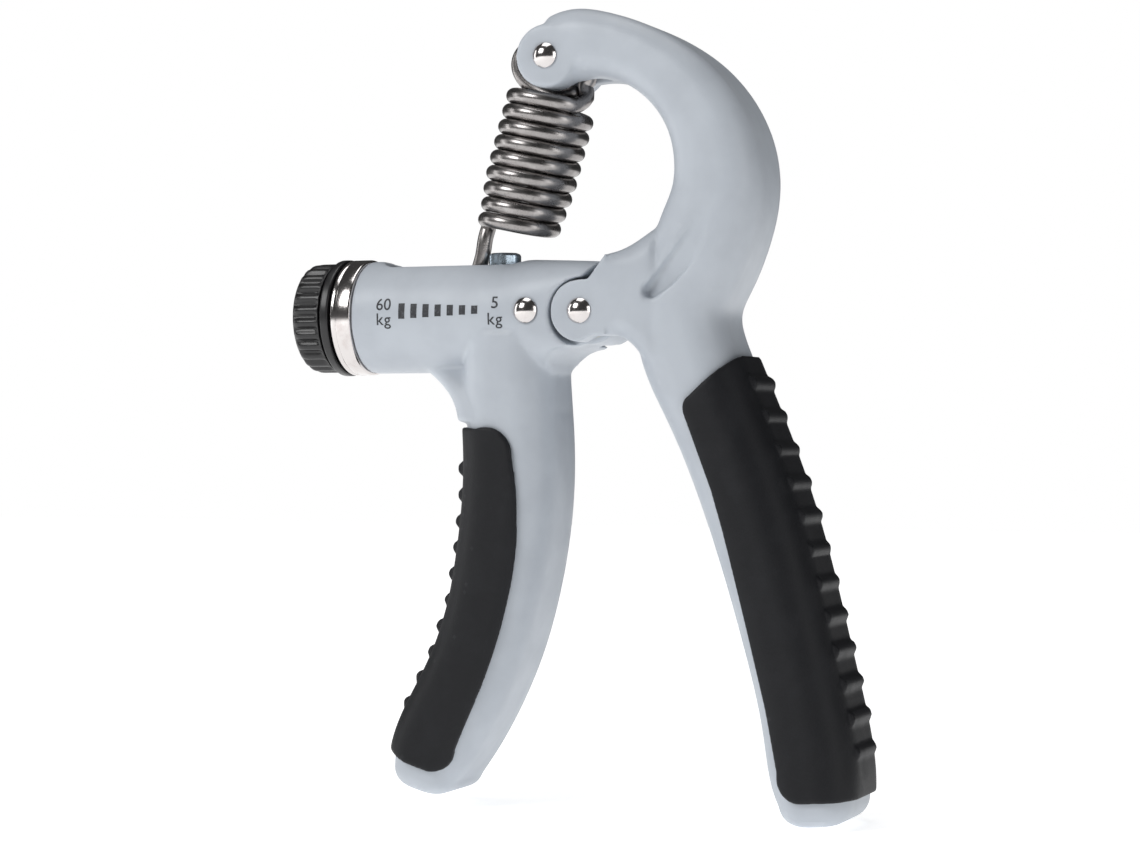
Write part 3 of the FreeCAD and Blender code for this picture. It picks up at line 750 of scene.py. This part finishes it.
# ------------------------------------------------------------------ rivets


@dataclass
class Rivets:
    """The three through rivets with polished domed heads."""

    shank: float = 1.9
    dome_tall: float = 1.35
    lip: float = 0.22
    bevel: float = 0.08
    dome_steps: int = 12
    segments: int = 64

    def mesh(self, name: str, node: str) -> bpy.types.Mesh:
        """Make one rivet in its CAD solid's box.

        Args:
            name: the mesh's name.
            node: the CAD node.

        Returns:
            The mesh.
        """
        low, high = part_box(node)
        centre = (low + high) / 2
        head = (high.x - low.x) / 2 / MM
        far = (high.y - low.y) / 2 / MM
        seat = far - self.dome_tall
        crown = self.dome_tall - self.lip
        ball = (head ** 2 + crown ** 2) / (2 * crown)
        reach = math.asin(min(1.0, head / ball))
        cap = [(far - ball + ball * math.cos(reach * step / self.dome_steps),
                ball * math.sin(reach * step / self.dome_steps))
               for step in range(self.dome_steps + 1)]
        cap[0] = (far, 0.0)
        side = cap + [(seat + 0.05, head), (seat, head - self.bevel),
                      (seat, min(self.shank, head - 0.5))]
        profile = [(-along, radius) for along, radius in side] + side[::-1]
        return turned(name, profile, Axis.Y, centre, self.segments)

    def build(self, shop: Workshop) -> None:
        """Make the rivets.

        Args:
            shop: places and dresses the pieces.
        """
        for node, body in (("pivot_rivet", "palm"), ("barrel_rivet", "finger"),
                           ("spring_rivet", "spring_pin")):
            name = node.replace("rivet", "dome_rivet")
            shop.mount(name, self.mesh(name, node), Slot.BRIGHT, body, node)


# ------------------------------------------------------------------ knob and ring


@dataclass
class Adjuster:
    """The fluted knob, the polished ring beside it and the screw train inside the barrel."""

    flutes: int = 26
    flute_deep: float = 0.75
    flute_steps: int = 12
    flute_gap: float = 0.45
    flange_wide: float = 1.7
    flange_proud: float = 0.7
    groove_wide: float = 0.7
    groove_deep: float = 0.9
    dish_deep: float = 0.7
    socket_deep: float = 3.0
    ring_seen: float = 4.3
    ring_round: float = 0.45
    ring_hole: float = 3.3
    spigot: float = 7.6
    ring_segments: int = 160

    def knob_profile(self, long: float, out: float, flange: float) -> list[Pair]:
        """The knob's outline from the middle of its end face to its inner face.

        Args:
            long: the knob's length.
            out: the radius over the flutes.
            flange: the flange's radius.

        Returns:
            Points (along, radius), denser where the flutes run.
        """
        seat = long - self.flange_wide
        groove = seat - self.groove_wide
        socket = long - self.socket_deep
        corners = [(self.dish_deep, 0.0), (self.dish_deep, 3.4), (0.0, 4.3), (0.0, out),
                   (groove, out), (groove, out - self.groove_deep), (seat, out - self.groove_deep),
                   (seat, flange), (long, flange), (long, 3.2), (socket, 3.0), (socket, 0.0)]
        shape = round_corners(corners, {1: 0.4, 2: 0.5, 3: 2.2, 4: 0.25, 5: 0.1, 6: 0.1, 7: 0.4,
                                        8: 0.4}, 6)
        dense: list[Pair] = []
        for here, there in zip(shape, shape[1:]):
            dense.append(here)
            gap = there[0] - here[0]
            if gap > 1.5 and here[1] == there[1]:
                count = int(gap / self.flute_gap)
                dense += [(here[0] + gap * step / count, here[1]) for step in range(1, count)]
        return dense + [shape[-1]]

    def build_knob(self, shop: Workshop) -> None:
        """Make the knob.

        Args:
            shop: places and dresses the piece.
        """
        low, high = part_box("knob")
        centre = Vector((low.x, 0.0, joint_place("knob_turn").z))
        long = (high.x - low.x) / MM
        flange = (high.z - low.z) / 2 / MM
        out = flange - self.flange_proud
        end = long - self.flange_wide - self.groove_wide

        def carve(along: float, angle: float) -> float:
            """The depth of a flute at a place on the knob."""
            if along > end + 0.01:
                return 0.0
            notch = (0.5 + 0.5 * math.cos(self.flutes * angle)) ** 1.6
            return self.flute_deep * notch * rise(along, 0.15, 1.4) * (1 - rise(along, end - 0.9, end))

        mesh = turned("fluted_knob", self.knob_profile(long, out, flange), Axis.X, centre,
                      self.flutes * self.flute_steps, carve)
        shop.mount("fluted_knob", mesh, Slot.KNOB, "adjuster", "knob")

    def build_ring(self, shop: Workshop) -> None:
        """Make the polished ring.

        Args:
            shop: places and dresses the piece.
        """
        low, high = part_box("trim_ring")
        out = (high.z - low.z) / 2 / MM
        centre = Vector((low.x, 0.0, (low.z + high.z) / 2))
        wide = (high.x - low.x) / MM
        face, soft = self.ring_seen, self.ring_round
        turns = [math.radians(turn) for turn in range(0, 91, 15)]
        outline = [(0.0, self.ring_hole), (0.0, out - soft)]
        outline += [(soft * (1 - math.cos(turn)), out - soft + soft * math.sin(turn))
                    for turn in turns[1:]]
        outline += [(0.9, out), (1.15, out - 0.12), (1.4, out)]
        outline += [(face - soft + soft * math.sin(turn), out - soft + soft * math.cos(turn))
                    for turn in turns]
        outline += [(face, self.spigot), (wide, self.spigot), (wide, self.ring_hole)]
        mesh = turned("polished_ring", outline, Axis.X, centre, self.ring_segments)
        shop.mount("polished_ring", mesh, Slot.BRIGHT, "finger", "trim_ring")

    def build(self, shop: Workshop) -> None:
        """Make the knob and ring and dress the screw train.

        Args:
            shop: places and dresses the pieces.
        """
        self.build_knob(shop)
        self.build_ring(shop)
        for node in ("lead_screw", "retaining_clip", "carriage", "hook_washer"):
            shop.dress(node, Slot.STEEL)
        for node in ("bearing_block", "thrust_washer", "pivot_washers"):
            shop.dress(node, Slot.NYLON)


# ------------------------------------------------------------------ hook screw


@dataclass
class HookScrew:
    """The upright hexagon-headed screw on the carriage."""

    stem: float = 1.72
    foot_bevel: float = 0.3
    flat: float = 3.0
    head_tall: float = 2.9
    head_turn: float = 18.0
    corner_round: float = 0.25
    segments: int = 60

    def ring(self, head: bmesh.types.BMesh, centre: Vector, height: float,
             reach: Callable[[float], float]) -> list[bmesh.types.BMVert]:
        """Add a closed ring of points to the head.

        Args:
            head: the head's mesh.
            centre: the screw's foot, in metres.
            height: the ring's height above it.
            reach: the ring's radius at an angle.

        Returns:
            The ring's points.
        """
        angles = [math.tau * step / self.segments for step in range(self.segments)]
        return [head.verts.new(centre + Vector((reach(angle) * math.cos(angle),
                                                reach(angle) * math.sin(angle), height)) * MM)
                for angle in angles]

    def build(self, shop: Workshop) -> None:
        """Make the screw in its CAD solid's box.

        Args:
            shop: places and dresses the piece.
        """
        low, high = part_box("hook_screw")
        centre = Vector(((low.x + high.x) / 2, 0.0, low.z))
        tall = (high.z - low.z) / MM
        seat = tall - self.head_tall
        sixth = math.radians(60)

        def hexagon_reach(angle: float) -> float:
            """The head's radius at an angle, with its corners cut a little."""
            sector = (angle + math.radians(self.head_turn)) % sixth - sixth / 2
            return min(self.flat / math.cos(sector),
                       self.flat / math.cos(sixth / 2) - self.corner_round)

        head = bmesh.new()
        rings = [self.ring(head, centre, height, lambda angle, share=share:
                           hexagon_reach(angle) * share)
                 for height, share in ((seat, 0.97), (seat + 0.15, 1.0), (tall - 0.55, 1.0),
                                       (tall - 0.2, 0.93), (tall - 0.02, 0.80))]
        dimple = [self.ring(head, centre, height, lambda angle, reach=reach: reach)
                  for height, reach in ((tall - 0.02, 1.9), (tall - 0.35, 1.5))]
        for here, there in zip(rings + dimple, (rings + dimple)[1:]):
            for step in range(self.segments):
                head.faces.new((here[step - 1], here[step], there[step], there[step - 1]))
        head.faces.new(dimple[-1])
        head.faces.new(rings[0])
        hexagon = sealed("hexagon", head, 25.0)
        bevel = self.foot_bevel
        shank = turned("shank", [(0.0, 0.0), (0.0, self.stem - bevel), (bevel, self.stem),
                                 (seat + 0.1, self.stem), (seat + 0.1, 0.0)], Axis.Z, centre, 32)
        shop.mount("hexagon_screw", joined("hexagon_screw", [hexagon, shank]), Slot.ZINC,
                   "carriage", "hook_screw")


# ------------------------------------------------------------------ spring


@dataclass
class Spring:
    """The close-wound extension spring with a loop at the top and a hook at the bottom."""

    wire: float = 1.5
    coil_radius: float = 7.4
    foot_radius: float = 6.6
    pitch: float = 3.06
    turns: float = 8.5
    coil_top: float = -7.5
    loop_wide: float = 7.6
    loop_tall: float = 4.95
    loop_left: float = 1.3
    crown: float = 3.1
    hook_radius: float = 3.35
    hook_height: float = 7.1
    leg_left: float = 5.5
    seam_turn: float = 4.25
    around: int = 20
    steps: int = 3
    end_round: float = 0.5
    pin: Vector = field(default_factory=lambda: joint_place("spring_swing"))
    down: Vector = field(default_factory=lambda: joint_axis("spring_stretch").normalized())

    def place(self, x: float, y: float, z: float) -> Vector:
        """A point of the spring's own upright frame about its top pin, in metres."""
        up = -self.down
        right = Vector((up.z, 0.0, -up.x))
        return self.pin + (right * x + Vector((0.0, y, 0.0)) + up * z) * MM

    def coil_point(self, turn: float) -> Vector:
        """The wire's middle after that many turns down from the top."""
        shrink = rise(turn, 5.0, self.turns)
        radius = self.coil_radius + (self.foot_radius - self.coil_radius) * shrink
        angle = -math.tau * turn
        return self.place(radius * math.cos(angle), radius * math.sin(angle),
                          self.coil_top - self.pitch * turn)

    def loop_point(self, degrees: float) -> Vector:
        """The middle of the top loop's wire at an angle from the right."""
        angle = math.radians(degrees)
        return self.place(self.loop_wide * math.cos(angle) - self.loop_left, 0.0,
                          self.crown - self.loop_tall + self.loop_tall * math.sin(angle))

    def upper_path(self) -> list[Vector]:
        """The loop and the upper coils, from the loop's free end."""
        points = [self.loop_point(-42.0 - step) for step in range(0, 342, 12)]
        points += [self.place(7.0, -0.5, -5.5)]
        points += [self.coil_point(step / 24) for step in range(2, int(self.seam_turn * 24) + 2)]
        return points

    def lower_path(self) -> list[Vector]:
        """The lower coils, the leg and the hook round the screw."""
        first, last = int(self.seam_turn * 24), int(self.turns * 24)
        points = [self.coil_point(step / 24) for step in range(first - 1, last - 1)]
        low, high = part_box("hook_screw")
        stem = Vector(((low.x + high.x) / 2, 0.0, joint_place("squeeze").z + self.hook_height * MM))
        knee = self.coil_point(self.turns)
        foot = stem + Vector((-self.leg_left, 0.0, 0.0)) * MM
        points += [knee + Vector((0.05, 0.25, -0.9)) * MM, knee.lerp(foot, 0.3), knee.lerp(foot, 0.6),
                   foot + Vector((0.0, 0.0, 1.6)) * MM, foot + Vector((0.45, 0.0, 0.35)) * MM]
        for degrees in range(184, 470, 14):
            angle = math.radians(degrees)
            points.append(stem + Vector((math.cos(angle), math.sin(angle), 0.0))
                          * self.hook_radius * MM)
        return points

    def smooth(self, points: Sequence[Vector], steps: int) -> list[Vector]:
        """Points along a centripetal curve through the given ones.

        Args:
            points: the points the wire passes through.
            steps: the points made for each gap.

        Returns:
            The denser path.
        """
        ends = [points[0] * 2 - points[1], *points, points[-1] * 2 - points[-2]]
        made = []
        for a, b, c, d in zip(ends, ends[1:], ends[2:], ends[3:]):
            knots = [0.0]
            for near, far in ((a, b), (b, c), (c, d)):
                knots.append(knots[-1] + math.sqrt(max((far - near).length, 1e-9)))
            for step in range(steps):
                t = knots[1] + (knots[2] - knots[1]) * step / steps
                ab = a.lerp(b, (t - knots[0]) / (knots[1] - knots[0]))
                bc = b.lerp(c, (t - knots[1]) / (knots[2] - knots[1]))
                cd = c.lerp(d, (t - knots[2]) / (knots[3] - knots[2]))
                near = ab.lerp(bc, (t - knots[0]) / (knots[2] - knots[0]))
                far = bc.lerp(cd, (t - knots[1]) / (knots[3] - knots[1]))
                made.append(near.lerp(far, (t - knots[1]) / (knots[2] - knots[1])))
        return made + [points[-1]]

    def tube(self, name: str, path: Sequence[Vector], round_start: bool,
             round_end: bool) -> bpy.types.Mesh:
        """Sweep the wire's section along a path.

        Args:
            name: the mesh's name.
            path: the wire's middle.
            round_start: whether the first end is a rounded cut. If not, the path's first gap
                only gives the direction of the joint.
            round_end: the same for the last end.

        Returns:
            The mesh.
        """
        shell = bmesh.new()
        path = list(path)
        ways = [(path[min(i + 1, len(path) - 1)] - path[max(i - 1, 0)]).normalized()
                for i in range(len(path))]
        first = 0 if round_start else self.steps
        last = len(path) if round_end else len(path) - self.steps
        path, ways = path[first:last], ways[first:last]
        across = ways[0].orthogonal().normalized()
        rings = []
        for spot, way in zip(path, ways):
            across = (across - way * across.dot(way)).normalized()
            rings.append((spot, way, across.copy(), 1.0))
        cap = [(math.sin(math.radians(t)), math.cos(math.radians(t))) for t in (30, 55, 75, 86)]
        soft = self.wire * self.end_round * MM
        if round_end:
            spot, way, side, _ = rings[-1]
            rings += [(spot + way * push * soft, way, side, pull)
                      for push, pull in cap]
        if round_start:
            spot, way, side, _ = rings[0]
            rings = [(spot - way * push * soft, way, side, pull)
                     for push, pull in reversed(cap)] + rings
        made = []
        for spot, way, side, share in rings:
            other = way.cross(side)
            made.append([shell.verts.new(spot + (side * math.cos(math.tau * step / self.around)
                                                 + other * math.sin(math.tau * step / self.around))
                                         * self.wire * share * MM) for step in range(self.around)])
        for here, there in zip(made, made[1:]):
            for step in range(self.around):
                shell.faces.new((here[step - 1], here[step], there[step], there[step - 1]))
        shell.faces.new(made[0])
        shell.faces.new(made[-1])
        return sealed(name, shell)

    def build(self, shop: Workshop) -> None:
        """Make the spring in two pieces: the loop with the upper coils, and the lower coils with the
        hook.

        Args:
            shop: places and dresses the pieces.
        """
        top = self.coil_top
        middle = top - self.pitch * self.seam_turn
        bottom = top - self.pitch * self.turns
        upper = self.tube("spring_loop_coils", self.smooth(self.upper_path(), self.steps), True, False)
        upper = shop.piece("spring_loop_coils", upper, Slot.SPRING)
        self.place(0, 0, top + 1.0)
        self.place(0, 0, middle + 0.8)
        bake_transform(upper)
        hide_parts("spring_upper", "spring_middle")
        lower = self.tube("spring_foot_coils", self.smooth(self.lower_path(), self.steps), False, True)
        lower = shop.piece("spring_foot_coils", lower, Slot.SPRING)
        self.place(0, 0, middle - 0.8)
        self.place(0, 0, bottom + 0.5)
        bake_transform(lower)
        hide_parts("spring_lower")


# ------------------------------------------------------------------ printed scale


@dataclass
class Scale:
    """The setting scale printed on the front of the barrel."""

    radius: float = 11.1
    proud: float = 0.035
    sunk: float = 0.12
    bars: int = 7
    bar_first: float = -37.0
    bar_step: float = 2.57
    bar_wide: float = 1.3
    bar_tall: float = 3.0
    bar_short: float = 1.6
    bar_height: float = 0.5
    slice_tall: float = 0.22

    def __post_init__(self) -> None:
        """Keep a search tree of the finger handle's skin, which the ink lies on."""
        skin = bmesh.new()
        skin.from_mesh(bpy.data.objects["finger_shell"].data)
        self.skin = BVHTree.FromBMesh(skin)
        skin.free()

    def front(self, x: float, z: float) -> float:
        """How far forward the handle's skin is at a place, all in millimetres."""
        hit = self.skin.ray_cast(Vector((x, -40.0, z)) * MM, Vector((0.0, 1.0, 0.0)))[0]
        return hit.y / MM

    def wrapped(self, name: str, flat: bmesh.types.BMesh) -> bpy.types.Mesh:
        """Lay a flat outline, drawn in millimetres as (x, z), on the barrel as a thin solid.

        Args:
            name: the mesh's name.
            flat: faces in the plane y = 0, about the pivot.

        Returns:
            The mesh.
        """
        heights = [vert.co.z for vert in flat.verts]
        level = math.floor(min(heights) / self.slice_tall) * self.slice_tall
        while level < max(heights):
            bmesh.ops.bisect_plane(flat, geom=[*flat.verts, *flat.edges, *flat.faces],
                                   plane_co=(0, 0, level + 0.013), plane_no=(0, 0, 1))
            level += self.slice_tall
        bmesh.ops.triangulate(flat, faces=[face for face in flat.faces if len(face.verts) > 4])
        front = list(flat.faces)
        raised = bmesh.ops.extrude_face_region(flat, geom=front)
        top = [item for item in raised["geom"] if isinstance(item, bmesh.types.BMVert)]
        over = set(top)
        centre = joint_place("knob_turn").z / MM
        pivot = joint_place("squeeze") / MM
        for vert in flat.verts:
            x = pivot.x + vert.co.x
            z = centre + self.radius * math.sin((pivot.z + vert.co.z - centre) / self.radius)
            lift = self.proud if vert in over else -self.sunk
            vert.co = Vector((x, self.front(x, z) - lift, z)) * MM
        return sealed(name, flat, 60.0)

    def lettering(self, text: str, x: float, z: float, tall: float,
                  spacing: float) -> bmesh.types.BMesh:
        """A word as flat faces about the pivot.

        Args:
            text: the word.
            x: the place of its middle.
            z: the height of its baseline.
            tall: the height of a capital letter.
            spacing: the letters' spacing, where 1 is normal.

        Returns:
            The faces.
        """
        curve = bpy.data.curves.new("word", "FONT")
        curve.body = text
        curve.align_x = "CENTER"
        curve.size = tall / 0.70
        curve.space_character = spacing
        curve.offset = 0.018
        curve.resolution_u = 6
        item = bpy.data.objects.new("word", curve)
        bpy.context.scene.collection.objects.link(item)
        bpy.context.view_layer.update()
        mesh = bpy.data.meshes.new_from_object(
            item.evaluated_get(bpy.context.evaluated_depsgraph_get()))
        flat = bmesh.new()
        flat.from_mesh(mesh)
        bmesh.ops.remove_doubles(flat, verts=flat.verts, dist=0.0005)
        for vert in flat.verts:
            vert.co = Vector((x + vert.co.x, 0.0, z + vert.co.y))
        bpy.data.objects.remove(item)
        bpy.data.curves.remove(curve)
        bpy.data.meshes.remove(mesh)
        return flat

    def bar(self, index: int) -> bmesh.types.BMesh:
        """One bar of the scale, counted from the knob."""
        x = self.bar_first + self.bar_step * index
        tall = self.bar_tall + (self.bar_short - self.bar_tall) * index / (self.bars - 1)
        flat = bmesh.new()
        corners = [(x - self.bar_wide / 2, self.bar_height - tall / 2),
                   (x + self.bar_wide / 2, self.bar_height - tall / 2),
                   (x + self.bar_wide / 2, self.bar_height + tall / 2),
                   (x - self.bar_wide / 2, self.bar_height + tall / 2)]
        flat.faces.new([flat.verts.new((across, 0.0, up)) for across, up in corners])
        return flat

    def build(self, shop: Workshop) -> None:
        """Make the bars and the numbers.

        Args:
            shop: places and dresses the pieces.
        """
        bars = [self.wrapped(f"bar_{index}", self.bar(index)) for index in range(self.bars)]
        shop.mount("printed_bars", joined("printed_bars", bars), Slot.PRINT, "finger", "scale_bars")
        words = [("60", -40.9, 0.75, 2.3, 1.0), ("kg", -40.9, -2.15, 2.3, 1.12),
                 ("5", -17.4, 0.75, 2.3, 1.0), ("kg", -17.4, -2.4, 2.3, 1.12)]
        parts = [self.wrapped(f"word_{index}", self.lettering(*word))
                 for index, word in enumerate(words)]
        shop.mount("printed_numbers", joined("printed_numbers", parts), Slot.PRINT, "finger",
                   "scale_numerals")


# ------------------------------------------------------------------ studio


@dataclass
class Studio:
    """A pale seamless floor, soft lights and the camera."""

    azimuth: float = 22.0
    camera_place: Triple = (0.1924, -0.4815, 0.0736)
    lens: float = 85.0
    floor_half: float = 1.4
    air: float = 0.05
    backdrop: float = 1.0

    def floor(self) -> None:
        """Make the floor."""
        shell = bmesh.new()
        bmesh.ops.create_grid(shell, x_segments=8, y_segments=8, size=self.floor_half)
        bmesh.ops.translate(shell, vec=(0.0, 0.0, -0.0003), verts=shell.verts)
        mesh = sealed("pale_floor", shell)
        mesh.materials.append(StudioPaper().material())
        item = bpy.data.objects.new("pale_floor", mesh)
        bpy.context.scene.collection.objects.link(item)

    def sky(self) -> None:
        """Fill the room with dim air that looks white behind the object."""
        world = bpy.data.worlds.new("studio_air")
        world.use_nodes = True
        tree = world.node_tree
        tree.nodes.clear()
        seen = tree.nodes.new("ShaderNodeLightPath")
        strength = tree.nodes.new("ShaderNodeMapRange")
        strength.inputs["To Min"].default_value = self.air
        strength.inputs["To Max"].default_value = self.backdrop
        tree.links.new(seen.outputs["Is Camera Ray"], strength.inputs["Value"])
        air = tree.nodes.new("ShaderNodeBackground")
        air.inputs["Color"].default_value = (1.0, 1.0, 1.0, 1.0)
        tree.links.new(strength.outputs["Result"], air.inputs["Strength"])
        out = tree.nodes.new("ShaderNodeOutputWorld")
        tree.links.new(air.outputs["Background"], out.inputs["Surface"])
        bpy.context.scene.world = world

    def light(self, name: str, place: Triple, size: Pair, power: float,
              tint: Colour = (1.0, 1.0, 1.0)) -> None:
        """Hang a soft light that looks at the object's middle.

        Args:
            name: the light's name.
            place: where it hangs, in metres.
            size: its width and height, in metres.
            power: its power in watts.
            tint: its colour.
        """
        lamp = bpy.data.lights.new(name, "AREA")
        lamp.shape = "RECTANGLE"
        lamp.size, lamp.size_y = size
        lamp.energy = power
        lamp.color = tint
        item = bpy.data.objects.new(name, lamp)
        item.location = place
        aim = Vector((0.0, 0.0, 0.075)) - Vector(place)
        item.rotation_euler = aim.to_track_quat("-Z", "Y").to_euler()
        bpy.context.scene.collection.objects.link(item)

    def camera(self) -> None:
        """Set up the camera level with the object's middle."""
        data = bpy.data.cameras.new("camera")
        data.lens = self.lens
        data.sensor_width = 36.0
        data.clip_start = 0.01
        item = bpy.data.objects.new("camera", data)
        item.location = self.camera_place
        item.rotation_euler = (math.pi / 2, 0.0, math.radians(self.azimuth))
        bpy.context.scene.collection.objects.link(item)
        bpy.context.scene.camera = item

    def build(self) -> None:
        """Make the whole studio."""
        self.floor()
        self.light("key_left", (-0.50, -0.72, 0.66), (0.45, 0.45), 4.8)
        self.light("overhead", (-0.05, 0.02, 0.85), (0.6, 0.45), 2.3)
        self.light("fill_right", (0.85, -0.35, 0.25), (0.22, 0.6), 1.2)
        self.light("strip_left", (-0.75, -0.10, 0.20), (0.14, 0.6), 0.8)
        self.sky()
        bpy.context.scene.view_settings.view_transform = "Standard"
        self.camera()


def main() -> None:
    """Build every sub-assembly in order, then the studio."""
    logging.basicConfig(level=logging.INFO, format="%(name)s: %(message)s")
    shop = Workshop()
    for assembly in (Handles, Rivets, Adjuster, HookScrew, Spring, Scale):
        LOG.info("building %s", assembly.__name__)
        assembly().build(shop)
    Studio().build()


if __name__ == "__main__":
    main()
